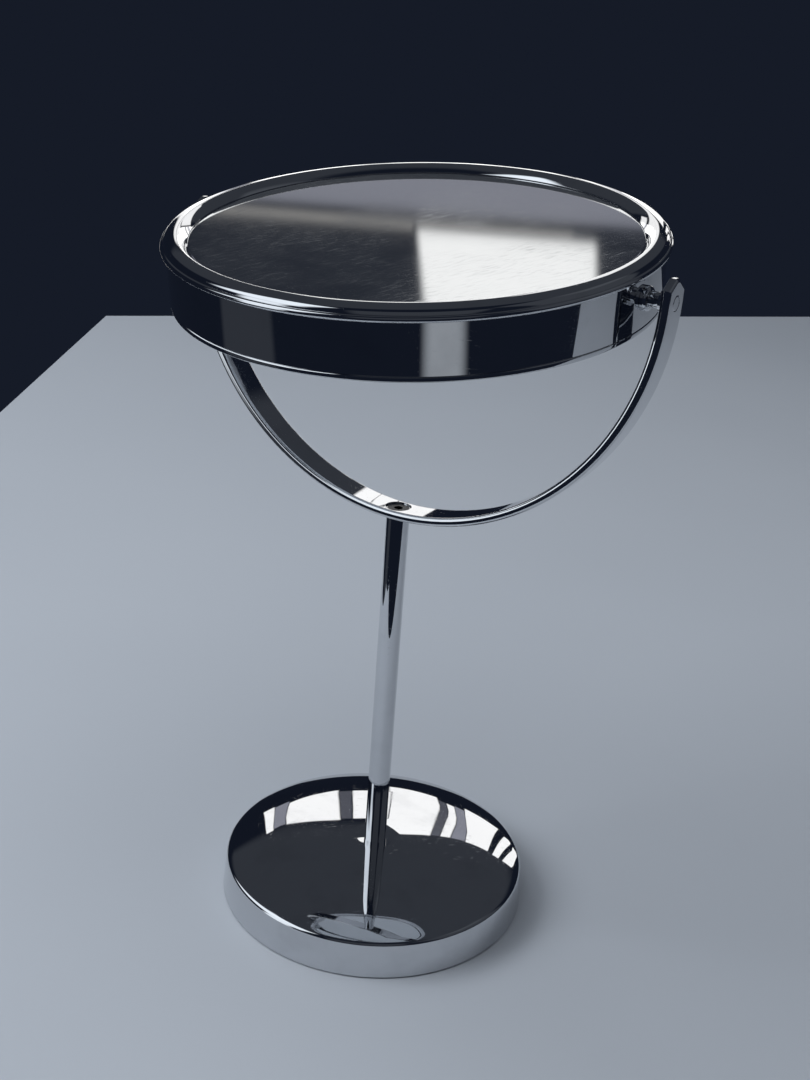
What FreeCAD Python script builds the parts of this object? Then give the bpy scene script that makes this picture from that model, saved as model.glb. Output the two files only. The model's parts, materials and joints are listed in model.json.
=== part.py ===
import FreeCAD, Part
import math
import os

# Round table mirror: a double-sided head that tilts between the arms of a strap yoke, on a thin stem and a
# weighted, domed base. Millimetres. The origin is the base's centre on the table. Z is up, X runs along the
# tilt axis, and the head's plain side faces up.

Vector = FreeCAD.Vector
ORIGIN = Vector(0, 0, 0)
X_AXIS = Vector(1, 0, 0)
Y_AXIS = Vector(0, 1, 0)
Z_AXIS = Vector(0, 0, 1)

# Clearances
running_clearance = 0.05        # radial, between a pin and the bush that turns on it
thread_clearance = 0.05         # radial, between plain stand-ins for a thread and its tapped hole
fitting_clearance = 0.1         # between fixed pieces that slide into each other
loose_clearance = 0.3           # round glass, ballast and other pieces that lie in a pocket
moving_gap = 0.15               # between flat faces that turn past each other

# Stance
pivot_height = 250.0            # table to the tilt axis
head_rest_tilt = 8.5            # degrees, back edge up

# Base
base_diameter = 116.0           # at the rim, where dome and skirt meet
base_rim_height = 14.2          # table to the rim
base_dome_rise = 6.8            # rim to the top of the dome
base_crown_flatness = 1.475     # dome's middle, to the radius of a plain cap of the same rise
base_shoulder_share = 0.3       # dome's edge, to the radius of the same cap
base_flare = 1.2                # growth of the skirt's radius from the rim down to its edge
base_lift = 0.5                 # table to the skirt's edge
base_sheet = 1.2
base_rim_round = 1.8
foot_seat_diameter = 14.4       # shallow seat pressed into the dome round the foot of the stem
foot_seat_depth = 0.35
foot_seat_slope = 2.6           # seat's edge in to its flat floor
pad_thickness = 1.5
pad_margin = 0.5                # closing plate's edge to the pad's edge
plate_sheet = 1.0
cup_gap = 1.2                   # radial, from the screw's head to the plate's cup
ballast_headroom = 2.5          # ballast to the underside of the shell at the rim

# Stem and its two screws
stem_diameter = 8.4
stem_screw_diameter = 5.0
stem_screw_engagement = 10.0
stem_tap_allowance = 2.0        # tapped hole beyond the screw's end
screw_passage = 0.25            # radial, round a screw that passes through a piece
base_screw_head_diameter = 9.5
base_screw_head_height = 3.5
base_screw_head_round = 1.0
screw_socket_width = 3.0        # across the flats of the hexagon socket
screw_socket_depth = 1.8
lock_washer_width = 2.0
lock_washer_thickness = 1.2
lock_washer_split = 1.0
yoke_screw_head_diameter = 9.2
yoke_screw_rim = 0.3            # straight edge of the countersunk head
yoke_screw_sink = 0.5           # strap to the top of the head

# Yoke
strap_width = 12.0
strap_thickness = 3.2
strap_edge_round = 1.1
yoke_side_gap = 5.5             # widest ring of the head to the strap
arm_above_pivot = 7.5
arm_corner_across = 5.0         # cut corner, across the strap
arm_corner_down = 3.2           # cut corner, down the arm

# Pivot pins and what is on them, from the arm inwards
rivet_diameter = 5.0
rivet_edge_round = 0.5
pin_flange_diameter = 7.2
pin_flange_thickness = 1.5
journal_diameter = 5.0
pin_thread_diameter = 4.0
pin_thread_overrun = 0.8        # thread that stands out of the nut
bush_head_diameter = 8.0
bush_projection = 2.3           # bush's head out of the band
bush_head_round = 1.3
bush_wall = 0.65
friction_washer_width = 2.0
friction_washer_thickness = 0.8
spring_washer_width = 2.2
spring_washer_sheet = 0.5
spring_washer_dish = 0.4
pivot_nut_width = 7.0           # across flats
pivot_nut_height = 3.8
pivot_nut_collar = 1.0          # round collar at the end of the nut that grips the thread

# Head, from the rim inwards
head_diameter = 168.0           # over the front bezel's lip
lip_overhang = 1.7              # lip past the band
lip_thickness = 2.0
lip_step = 1.0                  # lip past the foot of the crest
crest_width = 4.8               # from the crest's ridge out to its foot
crest_height = 2.5              # from the crest's ridge down to its foot
crest_top_radius = 8.0          # easy curve from the ridge outwards
crest_top_width = 3.4           # reach of that curve, before the crest rounds off to its foot
band_wall = 1.0
band_lap = 1.3                  # band up inside the front bezel's lip
rear_rim_height = 1.8           # rear bezel past the end of the band
rear_rim_round = 1.5
seam_ease = 0.25                # bevels where the rear bezel meets the band
bezel_skirt_wall = 1.3
bezel_pocket_wall = 2.3
bezel_tip_height = 0.4
glass_lap = 2.3                 # bezel over the edge of the glass
glass_recess = 3.1              # crest to the glass
glass_thickness = 2.0
magnifier_curvature = 800.0     # radius of the concave glass's reflecting side
core_wall = 1.6
core_flange_thickness = 1.5
core_flange_lap = 3.0           # flange under the edge of the glass
pivot_block_depth = 6.7
pivot_block_width = 16.0
pivot_boss_wall = 0.55
hardware_gap = 0.85             # corners of the pivot nut to the level of the glass backings
backing_front_thickness = 1.5
backing_rear_thickness = 1.0

# Levels of the base, from the table up
plate_bottom = pad_thickness
plate_top = plate_bottom + plate_sheet
cup_bottom = plate_bottom + fitting_clearance + base_screw_head_height + lock_washer_thickness
cup_top = cup_bottom + plate_sheet
dome_top = base_rim_height + base_dome_rise
foot_level = dome_top - foot_seat_depth
ballast_top = base_rim_height - base_sheet - ballast_headroom
boss_top = foot_level - base_sheet

# Radii of the base
base_radius = base_diameter / 2
plain_cap_radius = (base_radius ** 2 + base_dome_rise ** 2) / (2 * base_dome_rise)
crown_radius = base_crown_flatness * plain_cap_radius
crown_centre = dome_top - crown_radius
shoulder_arc_radius = base_shoulder_share * plain_cap_radius
rim_reach = math.hypot(base_radius, base_rim_height - crown_centre)
centre_distance = crown_radius - shoulder_arc_radius
turn_squares = rim_reach ** 2 + centre_distance ** 2 - shoulder_arc_radius ** 2
turn_to_rim = math.acos(turn_squares / (2 * rim_reach * centre_distance))
crown_angle = math.asin(base_radius / rim_reach) - turn_to_rim
shoulder_centre_radius = centre_distance * math.sin(crown_angle)
shoulder_centre = crown_centre + centre_distance * math.cos(crown_angle)
skirt_slope = base_flare / (base_rim_height - base_lift)
ballast_radius = base_radius - base_sheet - loose_clearance
plate_radius = ballast_radius
cup_radius = base_screw_head_diameter / 2 + cup_gap
cup_recess_radius = cup_radius + plate_sheet + loose_clearance
seat_floor_radius = foot_seat_diameter / 2 - foot_seat_slope
screw_radius = stem_screw_diameter / 2
passage_radius = screw_radius + screw_passage
tapped_radius = screw_radius + thread_clearance

# Radii of the head, from the rim inwards
lip_radius = head_diameter / 2
crest_outer_radius = lip_radius - lip_step
crest_radius = crest_outer_radius - crest_width
band_radius = lip_radius - lip_overhang
band_inner_radius = band_radius - band_wall
skirt_radius = band_inner_radius - fitting_clearance
skirt_inner_radius = skirt_radius - bezel_skirt_wall
pocket_radius = skirt_inner_radius - bezel_pocket_wall
glass_radius = pocket_radius - loose_clearance
aperture_radius = glass_radius - glass_lap
core_radius = skirt_inner_radius - 2 * fitting_clearance
core_flange_radius = glass_radius - core_flange_lap
block_face = core_radius - pivot_block_depth
backing_radius = block_face - loose_clearance

# Levels of the head, from its middle plane out to the crest
nut_corner_radius = pivot_nut_width / math.sqrt(3)
flange_level = nut_corner_radius + hardware_gap
glass_seat = flange_level + core_flange_thickness
glass_level = glass_seat + glass_thickness
crest_level = glass_level + glass_recess
lip_top = crest_level - crest_height
lip_bottom = lip_top - lip_thickness
band_front = lip_bottom + band_lap
band_rear = crest_level - rear_rim_height

# The pivots: distances from the head's centre along the tilt axis
journal_radius = journal_diameter / 2
bush_bore = journal_radius + running_clearance
bush_radius = bush_bore + bush_wall
boss_radius = bush_radius + fitting_clearance + pivot_boss_wall
skirt_end = boss_radius + 2 * fitting_clearance
bush_face = band_radius + bush_projection
yoke_inner_radius = lip_radius + yoke_side_gap
yoke_outer_radius = yoke_inner_radius + strap_thickness
pin_flange_face = yoke_inner_radius - pin_flange_thickness
journal_end = block_face - friction_washer_thickness - moving_gap
spring_washer_inner = journal_end - spring_washer_sheet - spring_washer_dish
nut_inner = spring_washer_inner - pivot_nut_height
pin_end = nut_inner - pin_thread_overrun
thread_radius = pin_thread_diameter / 2

# The yoke's screw hole and the stem's ends
yoke_bottom = pivot_height - yoke_outer_radius
yoke_seat = pivot_height - yoke_inner_radius
yoke_screw_top = yoke_seat - yoke_screw_sink


class Outline:
    """A closed outline in the plane of radius and height, drawn edge by edge."""

    def __init__(self, radius, height):
        self.start = Vector(radius, 0, height)
        self.here = self.start
        self.edges = []

    def line(self, radius, height):
        end = Vector(radius, 0, height)
        self.edges.append(Part.LineSegment(self.here, end).toShape())
        self.here = end
        return self

    def arc(self, through, end):
        """An arc through one point to another."""
        middle = Vector(through[0], 0, through[1])
        finish = Vector(end[0], 0, end[1])
        self.edges.append(Part.Arc(self.here, middle, finish).toShape())
        self.here = finish
        return self

    def quarter(self, radius, height, bulge_radius, bulge_height):
        """A quarter round to a point, bulging towards the corner given."""
        corner = Vector(bulge_radius, 0, bulge_height)
        end = Vector(radius, 0, height)
        centre = self.here + end - corner
        middle = centre + (corner - centre) * math.sqrt(0.5)
        return self.arc((middle.x, middle.z), (radius, height))

    def turned(self):
        """The solid that the outline makes when it is turned about the Z axis."""
        self.line(self.start.x, self.start.z)
        face = Part.Face(Part.Wire(self.edges))
        return face.revolve(ORIGIN, Z_AXIS, 360)


def disc(radius, low, high):
    """A solid cylinder on the Z axis."""
    return Part.makeCylinder(radius, high - low, Vector(0, 0, low), Z_AXIS)


def ring(outer, inner, low, high):
    """A round ring on the Z axis."""
    return disc(outer, low, high).cut(disc(inner, low, high))


def hexagon(across_flats, low, high):
    """A hexagonal prism on the Z axis."""
    corner = across_flats / math.sqrt(3)
    points = []
    for step in range(7):
        angle = math.radians(60 * step)
        points.append(Vector(corner * math.cos(angle), corner * math.sin(angle), low))
    face = Part.Face(Part.makePolygon(points))
    return face.extrude(Vector(0, 0, high - low))


def rounded(shape, radius, chosen):
    """The shape with its chosen edges rounded."""
    edges = [edge for edge in shape.Edges if chosen(edge)]
    return shape.makeFillet(radius, edges)


def along_pivot(shape):
    """A shape made on the Z axis, laid along the tilt axis with its height as distance from the centre."""
    shape.rotate(ORIGIN, Y_AXIS, 90)
    return shape


def on_left(shape):
    """The same piece on the other side of the head."""
    other = shape.copy()
    other.rotate(ORIGIN, Z_AXIS, 180)
    return other


def on_stand(shape):
    """A pivot piece that is fixed to the yoke."""
    shape.translate(Vector(0, 0, pivot_height))
    return shape


def on_head(shape):
    """A piece of the head, tilted as the head rests."""
    shape.rotate(ORIGIN, X_AXIS, head_rest_tilt)
    shape.translate(Vector(0, 0, pivot_height))
    return shape


def on_crown(angle, depth):
    """A point of the dome's flatter middle, at an angle from the top and a depth into the sheet."""
    radius = crown_radius - depth
    return radius * math.sin(angle), crown_centre + radius * math.cos(angle)


def on_shoulder(radius, depth):
    """A point of the dome's rounder edge, at a radius and a depth into the sheet."""
    arc_radius = shoulder_arc_radius - depth
    return radius, shoulder_centre + math.sqrt(arc_radius ** 2 - (radius - shoulder_centre_radius) ** 2)


def make_base_shell():
    """Pressed dome with a flared skirt and a flat seat for the stem."""
    seat_radius = foot_seat_diameter / 2
    seat_angle = math.asin(seat_radius / crown_radius)
    middle_angle = (seat_angle + crown_angle) / 2
    inner_rim_radius = base_radius - base_sheet
    inner_rim = on_shoulder(inner_rim_radius, base_sheet)[1]
    crown_edge = on_crown(crown_angle, 0)
    inner_crown_edge = on_crown(crown_angle, base_sheet)
    shoulder_middle = (crown_edge[0] + base_radius) / 2
    skirt_radius_low = base_radius + base_flare
    shell = (
        Outline(passage_radius, foot_level)
        .line(seat_floor_radius, foot_level)
        .line(*on_crown(seat_angle, 0))
        .arc(on_crown(middle_angle, 0), crown_edge)
        .arc(on_shoulder(shoulder_middle, 0), (base_radius, base_rim_height))
        .line(skirt_radius_low, base_lift)
        .line(skirt_radius_low - base_sheet, base_lift)
        .line(inner_rim_radius + skirt_slope * (base_rim_height - inner_rim), inner_rim)
        .arc(on_shoulder(shoulder_middle, base_sheet), inner_crown_edge)
        .arc(on_crown(middle_angle, base_sheet), on_crown(seat_angle, base_sheet))
        .line(seat_floor_radius, boss_top)
        .line(passage_radius, boss_top)
        .turned()
    )

    def is_rim(edge):
        box = edge.BoundBox
        return abs(box.ZMin - base_rim_height) < 0.01 and abs(box.ZMax - base_rim_height) < 0.01

    return rounded(shell, base_rim_round, is_rim)


def make_base_weight():
    """Cast ballast with a boss that carries the shell's seat and a recess round the plate's cup."""
    return (
        Outline(passage_radius, cup_top)
        .line(cup_recess_radius, cup_top)
        .line(cup_recess_radius, plate_top)
        .line(ballast_radius, plate_top)
        .line(ballast_radius, ballast_top)
        .line(seat_floor_radius, ballast_top)
        .line(seat_floor_radius, boss_top)
        .line(passage_radius, boss_top)
        .turned()
    )


def make_base_plate():
    """Closing plate with a cup pressed up round the head of the screw."""
    return (
        Outline(passage_radius, cup_bottom)
        .line(cup_radius, cup_bottom)
        .line(cup_radius, plate_bottom)
        .line(plate_radius, plate_bottom)
        .line(plate_radius, plate_top)
        .line(cup_radius + plate_sheet, plate_top)
        .line(cup_radius + plate_sheet, cup_top)
        .line(passage_radius, cup_top)
        .turned()
    )


def make_base_pad():
    """Soft pad that the mirror stands on."""
    return disc(plate_radius - pad_margin, 0, pad_thickness)


def make_base_screw():
    """Pan head screw from below, into the foot of the stem."""
    head_bottom = cup_bottom - lock_washer_thickness - base_screw_head_height
    head_top = head_bottom + base_screw_head_height
    head_radius = base_screw_head_diameter / 2
    screw = (
        Outline(0, head_bottom)
        .line(head_radius - base_screw_head_round, head_bottom)
        .quarter(head_radius, head_bottom + base_screw_head_round, head_radius, head_bottom)
        .line(head_radius, head_top)
        .line(screw_radius, head_top)
        .line(screw_radius, foot_level + stem_screw_engagement)
        .line(0, foot_level + stem_screw_engagement)
        .turned()
    )
    return screw.cut(hexagon(screw_socket_width, head_bottom, head_bottom + screw_socket_depth))


def make_base_lock_washer():
    """Split washer between the screw's head and the plate's cup."""
    inner = passage_radius
    washer = ring(inner + lock_washer_width, inner, cup_bottom - lock_washer_thickness, cup_bottom)
    corner = Vector(0, -lock_washer_split / 2, cup_bottom - lock_washer_thickness)
    split = Part.makeBox(inner + 2 * lock_washer_width, lock_washer_split, lock_washer_thickness, corner)
    return washer.cut(split)


def make_stem():
    """Round rod, tapped at both ends, with its top cut to the curve of the yoke."""
    radius = stem_diameter / 2
    rod_top = pivot_height - math.sqrt(yoke_outer_radius ** 2 - radius ** 2)
    tap_depth = stem_screw_engagement + stem_tap_allowance
    stem = disc(radius, foot_level, rod_top)
    stem = stem.cut(disc(tapped_radius, foot_level, foot_level + tap_depth))
    stem = stem.cut(disc(tapped_radius, yoke_bottom - tap_depth, rod_top))
    curve_start = Vector(0, -stem_diameter, pivot_height)
    curve = Part.makeCylinder(yoke_outer_radius, 2 * stem_diameter, curve_start, Y_AXIS)
    return stem.cut(curve)


def countersink(clearance, top):
    """The yoke screw's cone and shank up to a level, or with a clearance the hole that it lies in."""
    head = yoke_screw_head_diameter / 2 + clearance
    shank = screw_radius + clearance
    cone_top = yoke_screw_top - yoke_screw_rim
    return (
        Outline(0, yoke_bottom - stem_screw_engagement)
        .line(shank, yoke_bottom - stem_screw_engagement)
        .line(shank, cone_top - head + shank)
        .line(head, cone_top)
        .line(head, top)
        .line(0, top)
        .turned()
    )


def make_yoke_strap():
    """Flat strap bent to a U, with eased edges, cut corners and holes for the screw and the rivets."""
    inner = yoke_inner_radius
    outer = yoke_outer_radius
    half_width = strap_width / 2
    arm_top = pivot_height + arm_above_pivot

    def corner(x, z):
        return Vector(x, -half_width, z)

    edges = [
        Part.Arc(
            corner(-outer, pivot_height), corner(0, pivot_height - outer), corner(outer, pivot_height)
        ).toShape(),
        Part.makeLine(corner(outer, pivot_height), corner(outer, arm_top)),
        Part.makeLine(corner(outer, arm_top), corner(inner, arm_top)),
        Part.makeLine(corner(inner, arm_top), corner(inner, pivot_height)),
        Part.Arc(
            corner(inner, pivot_height), corner(0, pivot_height - inner), corner(-inner, pivot_height)
        ).toShape(),
        Part.makeLine(corner(-inner, pivot_height), corner(-inner, arm_top)),
        Part.makeLine(corner(-inner, arm_top), corner(-outer, arm_top)),
        Part.makeLine(corner(-outer, arm_top), corner(-outer, pivot_height)),
    ]
    strap = Part.Face(Part.Wire(edges)).extrude(Vector(0, strap_width, 0))
    for side in (-half_width, half_width):
        inwards = side - math.copysign(arm_corner_across, side)
        cut_points = [
            Vector(-2 * outer, inwards, arm_top),
            Vector(-2 * outer, side, arm_top),
            Vector(-2 * outer, side, arm_top - arm_corner_down),
            Vector(-2 * outer, inwards, arm_top),
        ]
        wedge = Part.Face(Part.makePolygon(cut_points)).extrude(Vector(4 * outer, 0, 0))
        strap = strap.cut(wedge)

    def runs_along(edge):
        return edge.BoundBox.XLength < 0.01 or edge.BoundBox.XLength > 2 * strap_thickness

    strap = rounded(strap, strap_edge_round, runs_along)
    rivet_hole = disc(rivet_diameter / 2 + running_clearance, -2 * outer, 2 * outer)
    strap = strap.cut(on_stand(along_pivot(rivet_hole)))
    flange_seats = disc(pin_flange_diameter / 2 + fitting_clearance, -inner, inner)
    strap = strap.cut(on_stand(along_pivot(flange_seats)))
    return strap.cut(countersink(fitting_clearance, yoke_seat + strap_thickness))


def make_yoke_screw():
    """Countersunk socket screw through the bottom of the strap into the stem."""
    screw = countersink(0, yoke_screw_top)
    return screw.cut(hexagon(screw_socket_width, yoke_screw_top - screw_socket_depth, yoke_screw_top))


def make_pivot_pin():
    """Stepped pin, riveted flush in the arm, with a flange, a journal and a threaded end."""
    rivet_end_radius = rivet_diameter / 2 - rivet_edge_round
    pin = (
        Outline(0, pin_end)
        .line(thread_radius, pin_end)
        .line(thread_radius, journal_end)
        .line(journal_radius, journal_end)
        .line(journal_radius, pin_flange_face)
        .line(pin_flange_diameter / 2, pin_flange_face)
        .line(pin_flange_diameter / 2, yoke_inner_radius)
        .line(rivet_diameter / 2, yoke_inner_radius)
        .line(rivet_diameter / 2, yoke_outer_radius - rivet_edge_round)
        .quarter(rivet_end_radius, yoke_outer_radius, rivet_diameter / 2, yoke_outer_radius)
        .line(0, yoke_outer_radius)
        .turned()
    )
    return on_stand(along_pivot(pin))


def make_pivot_bush():
    """Round bush through the band and the core's block, with a rounded head outside."""
    head_radius = bush_head_diameter / 2
    bush = (
        Outline(bush_bore, block_face)
        .line(bush_radius, block_face)
        .line(bush_radius, band_radius)
        .line(head_radius, band_radius)
        .line(head_radius, bush_face - bush_head_round)
        .quarter(head_radius - bush_head_round, bush_face, head_radius, bush_face)
        .line(bush_bore, bush_face)
        .turned()
    )
    return along_pivot(bush)


def make_friction_washer():
    """Flat nylon washer on the inner face of the core's block."""
    inner = bush_bore
    washer = ring(inner + friction_washer_width, inner, block_face - friction_washer_thickness, block_face)
    return along_pivot(washer)


def make_spring_washer():
    """Conical spring washer, its wide edge towards the friction washer."""
    inner = thread_radius + fitting_clearance
    outer = inner + spring_washer_width
    washer = (
        Outline(inner, spring_washer_inner)
        .line(outer, spring_washer_inner + spring_washer_dish)
        .line(outer, journal_end)
        .line(inner, spring_washer_inner + spring_washer_sheet)
        .turned()
    )
    return on_stand(along_pivot(washer))


def make_pivot_nut():
    """Hexagon nut with a round collar that grips the end of the thread."""
    collar_radius = pivot_nut_width / 2 - fitting_clearance
    nut = hexagon(pivot_nut_width, nut_inner + pivot_nut_collar, spring_washer_inner)
    nut = nut.fuse(disc(collar_radius, nut_inner, nut_inner + pivot_nut_collar))
    nut = nut.cut(disc(thread_radius + thread_clearance, nut_inner, spring_washer_inner))
    return on_stand(along_pivot(nut.removeSplitter()))


def make_head_band():
    """Rolled band round the head, with a hole for each bush."""
    band = (
        Outline(band_inner_radius, -band_rear)
        .line(band_radius - seam_ease, -band_rear)
        .line(band_radius, -band_rear + seam_ease)
        .line(band_radius, band_front)
        .line(band_inner_radius, band_front)
        .turned()
    )
    bush_hole = disc(bush_radius + fitting_clearance, -2 * band_radius, 2 * band_radius)
    return on_head(band.cut(along_pivot(bush_hole)))


def make_front_bezel():
    """Ring with a beaded lip outside the band, a rounded crest and a slope down to the glass."""
    turn = math.asin(crest_top_width / crest_top_radius)
    top_middle = (
        crest_radius + crest_top_radius * math.sin(turn / 2),
        crest_level - crest_top_radius * (1 - math.cos(turn / 2)),
    )
    brow_radius = crest_radius + crest_top_width
    brow_level = crest_level - crest_top_radius * (1 - math.cos(turn))
    across = crest_outer_radius - brow_radius
    down = brow_level - lip_top
    bulge = math.tan((math.atan2(down, across) - turn) / 2) / 2
    brow_middle = brow_radius + across / 2 + bulge * down, brow_level - down / 2 + bulge * across
    bezel = (
        Outline(band_radius + fitting_clearance, lip_bottom)
        .line(crest_outer_radius, lip_bottom)
        .arc((lip_radius, lip_bottom + lip_thickness / 2), (crest_outer_radius, lip_top))
        .arc(brow_middle, (brow_radius, brow_level))
        .arc(top_middle, (crest_radius, crest_level))
        .line(aperture_radius, glass_level + bezel_tip_height)
        .line(aperture_radius, glass_level)
        .line(pocket_radius, glass_level)
        .line(pocket_radius, glass_seat + fitting_clearance)
        .line(skirt_inner_radius, glass_seat + fitting_clearance)
        .line(skirt_inner_radius, skirt_end)
        .line(skirt_radius, skirt_end)
        .line(skirt_radius, band_front + fitting_clearance)
        .line(band_radius + fitting_clearance, band_front + fitting_clearance)
        .turned()
    )
    return on_head(bezel)


def make_rear_bezel():
    """Ring flush with the band, with a rounded rim and a slope down to the magnifying glass."""
    rear_pocket = -glass_level - fitting_clearance
    bezel = (
        Outline(band_radius - seam_ease, -band_rear)
        .line(band_radius, -band_rear - seam_ease)
        .line(band_radius, -crest_level + rear_rim_round)
        .quarter(band_radius - rear_rim_round, -crest_level, band_radius, -crest_level)
        .line(crest_radius, -crest_level)
        .line(aperture_radius, rear_pocket - bezel_tip_height)
        .line(aperture_radius, rear_pocket)
        .line(pocket_radius, rear_pocket)
        .line(pocket_radius, -glass_seat - fitting_clearance)
        .line(skirt_inner_radius, -glass_seat - fitting_clearance)
        .line(skirt_inner_radius, -skirt_end)
        .line(skirt_radius, -skirt_end)
        .line(skirt_radius, -band_rear)
        .turned()
    )
    return on_head(bezel)


def make_core_ring():
    """Moulded channel ring between the glasses, with a block for each pivot."""
    rear_seat = glass_seat - slump(core_flange_radius)
    core = (
        Outline(core_flange_radius, glass_seat)
        .line(core_flange_radius, flange_level)
        .line(core_radius - core_wall, flange_level)
        .line(core_radius - core_wall, core_flange_thickness - rear_seat)
        .line(core_flange_radius, core_flange_thickness - rear_seat)
        .line(core_flange_radius, -rear_seat)
        .line(core_radius, -rear_seat)
        .line(core_radius, glass_seat)
        .turned()
    )
    block_low = core_flange_thickness - rear_seat - fitting_clearance
    block_high = flange_level + fitting_clearance
    block_corner = Vector(block_face, -pivot_block_width / 2, block_low)
    block = Part.makeBox(lip_radius - block_face, pivot_block_width, block_high - block_low, block_corner)
    block = block.common(disc(core_radius - core_wall / 2, block_low, block_high))
    boss = along_pivot(disc(boss_radius, block_face, lip_radius))
    boss = boss.common(disc(skirt_radius, -boss_radius, boss_radius))
    for pivot in (block, boss):
        core = core.fuse(pivot).fuse(on_left(pivot))
    bush_hole = disc(bush_radius + fitting_clearance, -2 * lip_radius, 2 * lip_radius)
    return on_head(core.removeSplitter().cut(along_pivot(bush_hole)))


def make_mirror_plain():
    """Flat silvered glass."""
    return on_head(disc(glass_radius, glass_seat, glass_level))


def slump(radius):
    """How much nearer the middle plane the magnifying glass lies at a radius than at its edge."""
    back_curvature = magnifier_curvature + glass_thickness
    edge = math.sqrt(back_curvature ** 2 - glass_radius ** 2)
    return math.sqrt(back_curvature ** 2 - radius ** 2) - edge


def dished(outer_curvature, inner_curvature, radius):
    """A round piece between two spheres that share the magnifying glass's centre of curvature."""
    back_curvature = magnifier_curvature + glass_thickness
    centre = -glass_seat - math.sqrt(back_curvature ** 2 - glass_radius ** 2)

    def level(curvature, at):
        return centre + math.sqrt(curvature ** 2 - at ** 2)

    piece = (
        Outline(0, level(outer_curvature, 0))
        .arc((radius / 2, level(outer_curvature, radius / 2)), (radius, level(outer_curvature, radius)))
        .line(radius, level(inner_curvature, radius))
        .arc((radius / 2, level(inner_curvature, radius / 2)), (0, level(inner_curvature, 0)))
        .turned()
    )
    return on_head(piece)


def make_mirror_magnifying():
    """Concave silvered glass."""
    return dished(magnifier_curvature, magnifier_curvature + glass_thickness, glass_radius)


def make_backing_plain():
    """Foam disc behind the flat glass."""
    return on_head(disc(backing_radius, glass_seat - backing_front_thickness, glass_seat))


def make_backing_magnifying():
    """Foam shell behind the magnifying glass."""
    back = magnifier_curvature + glass_thickness
    return dished(back, back + backing_rear_thickness, backing_radius)


def pair(shape):
    """One piece on each side of the head."""
    return Part.makeCompound([shape, on_left(shape)])


pieces = {
    "base_shell": make_base_shell(),
    "base_weight": make_base_weight(),
    "base_plate": make_base_plate(),
    "base_pad": make_base_pad(),
    "base_screw": make_base_screw(),
    "base_lock_washer": make_base_lock_washer(),
    "stem": make_stem(),
    "yoke_strap": make_yoke_strap(),
    "yoke_screw": make_yoke_screw(),
    "pivot_pin_right": make_pivot_pin(),
    "pivot_pin_left": on_left(make_pivot_pin()),
    "spring_washers": pair(make_spring_washer()),
    "pivot_nuts": pair(make_pivot_nut()),
    "pivot_bush_right": on_head(make_pivot_bush()),
    "pivot_bush_left": on_head(on_left(make_pivot_bush())),
    "friction_washers": on_head(pair(make_friction_washer())),
    "head_band": make_head_band(),
    "front_bezel": make_front_bezel(),
    "rear_bezel": make_rear_bezel(),
    "core_ring": make_core_ring(),
    "mirror_plain": make_mirror_plain(),
    "mirror_magnifying": make_mirror_magnifying(),
    "backing_plain": make_backing_plain(),
    "backing_magnifying": make_backing_magnifying(),
}

os.makedirs("parts", exist_ok=True)
for name, shape in pieces.items():
    shape.exportStep(os.path.join("parts", name + ".step"))
    print(name, len(shape.Solids), "solid", round(shape.Volume / 1000, 2), "cm3, valid", shape.isValid())
print("head thickness", round(2 * crest_level, 2), "stem length", round(yoke_bottom - foot_level, 2))
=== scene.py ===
import json
import math
import bmesh
import bpy
from mathutils import Matrix, Vector


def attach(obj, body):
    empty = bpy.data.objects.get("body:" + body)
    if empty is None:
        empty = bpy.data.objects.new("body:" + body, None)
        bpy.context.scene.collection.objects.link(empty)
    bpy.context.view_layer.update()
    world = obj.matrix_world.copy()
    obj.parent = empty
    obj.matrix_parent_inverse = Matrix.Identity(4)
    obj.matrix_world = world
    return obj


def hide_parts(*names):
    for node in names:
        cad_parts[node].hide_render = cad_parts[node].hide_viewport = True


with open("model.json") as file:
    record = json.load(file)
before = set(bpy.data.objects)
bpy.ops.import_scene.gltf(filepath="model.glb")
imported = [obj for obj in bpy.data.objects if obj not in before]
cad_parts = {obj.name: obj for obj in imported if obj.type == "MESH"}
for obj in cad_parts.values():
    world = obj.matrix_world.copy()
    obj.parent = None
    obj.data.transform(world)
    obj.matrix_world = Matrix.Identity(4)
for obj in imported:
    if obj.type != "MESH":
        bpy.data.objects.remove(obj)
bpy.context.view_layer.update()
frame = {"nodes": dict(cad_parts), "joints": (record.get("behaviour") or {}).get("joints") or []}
nodes = frame["nodes"]

# ---------------------------------------------------------------------------------------------------------
# Base shell: a pressed steel dome with a rolled rim and a slightly flared skirt, chrome plated and polished.
# The plate follows the pressing, so the dome's reflections waver a little, and hands leave a faint bloom.
# ---------------------------------------------------------------------------------------------------------


class Reading:
    """A number, colour or direction that varies over a surface, taken from one socket of a finish."""

    def __init__(self, finish, socket):
        self.finish = finish
        self.socket = socket

    def reckon(self, operation, *terms):
        return self.finish.node("ShaderNodeMath", {"operation": operation}, dict(enumerate(terms)))

    def __add__(self, other):
        return self.reckon("ADD", self, other)

    def __radd__(self, other):
        return self.reckon("ADD", other, self)

    def __rsub__(self, other):
        return self.reckon("SUBTRACT", other, self)

    def __mul__(self, other):
        return self.reckon("MULTIPLY", self, other)

    def __rmul__(self, other):
        return self.reckon("MULTIPLY", other, self)

    def between(self, low, high):
        """0 below low, 1 above high, and a smooth rise between them."""
        return self.finish.node(
            "ShaderNodeMapRange",
            {"interpolation_type": "SMOOTHSTEP", "clamp": True},
            {"Value": self, "From Min": low, "From Max": high},
        )


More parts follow.
